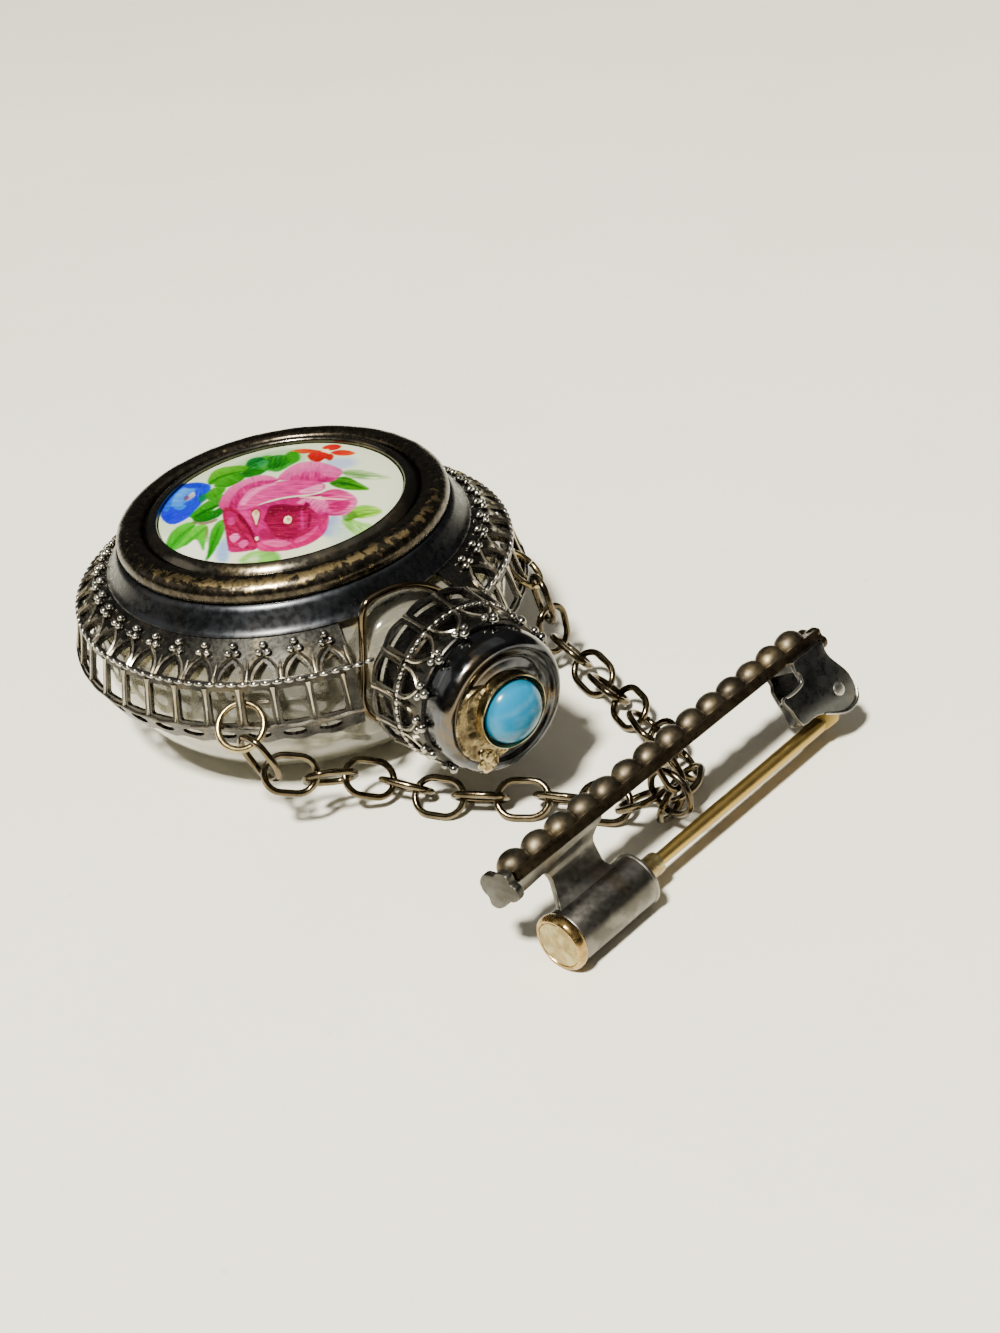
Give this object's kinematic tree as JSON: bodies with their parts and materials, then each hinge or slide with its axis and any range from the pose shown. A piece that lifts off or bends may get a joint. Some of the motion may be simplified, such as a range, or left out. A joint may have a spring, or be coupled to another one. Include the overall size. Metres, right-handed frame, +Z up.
{
  "type": "bar brooch with scent flask",
  "caption": "Beaded bar brooch with a tube clasp; a round glass scent flask in a pierced metal gallery, with a painted plaque and a domed stone stopper, hangs from it on two chains.",
  "frame": {"origin": "middle of the whole piece as it lies, on the table", "axes": "+Z up; seen from the picture's side, +X to the right and +Y away"},
  "size_m": [0.0612, 0.0616, 0.0183],
  "materials": {
    "glass": "clear grey-olive glass with amber traces inside",
    "silver": "oxidised silver, dark with worn gold-brown highlights",
    "bronze": "tarnished bronze wire",
    "porcelain": "glazed cream with a painted flower spray",
    "gilt": "worn gilt",
    "turquoise": "polished sky-blue cabochon",
    "plug": "matt pale stopper",
    "brass": "bright worn brass",
    "chain": "bronze-brown worn silver gilt",
    "bar_silver": "dark silver, brown in the hollows",
    "rivet": "pale grey, hammered",
    "pin": "ochre-gold polished wire",
    "clasp": "worn pale brass"
  },
  "bodies": {
    "root": {"flask_glass": "glass", "gallery": "silver", "neck_wire": "bronze", "plaque": "porcelain", "jump_ring_left": "brass", "jump_ring_right": "brass", "left_link_01": "chain", "left_link_02": "chain", "left_link_03": "chain", "left_link_04": "chain", "left_link_05": "chain", "left_link_06": "chain", "left_link_07": "chain", "left_link_08": "chain", "left_link_09": "chain", "left_link_10": "chain", "left_link_11": "chain", "right_link_01": "chain", "right_link_02": "chain", "right_link_03": "chain", "right_link_04": "chain", "right_link_05": "chain", "right_link_06": "chain", "right_link_07": "chain", "right_link_08": "chain", "right_link_09": "chain", "right_link_10": "chain", "right_link_11": "chain", "bar_ring": "brass", "bar_frame": "bar_silver", "rivet": "rivet"},
    "stopper": {"cap": "silver", "stone_cup": "gilt", "turquoise": "turquoise", "stopper_plug": "plug"},
    "pin": {"pin_stem": "pin"},
    "sleeve": {"clasp_slider": "clasp"}
  },
  "joints": [
    {"name": "stopper_pull", "type": "slide", "parent": "root", "child": "stopper", "axis": [0.5417, -0.8406, 0], "range_m": [0, 0.0075]},
    {"name": "pin_hinge", "type": "hinge", "parent": "root", "child": "pin", "pos_m": [0.02791, -0.00722, 0.00363], "axis": [0.5744, -0.6362, 0.515], "range_deg": [0, 55]},
    {"name": "sleeve_slide", "type": "slide", "parent": "root", "child": "sleeve", "axis": [-0.7422, -0.6702, 0], "range_m": [0, 0.0026]}
  ]
}
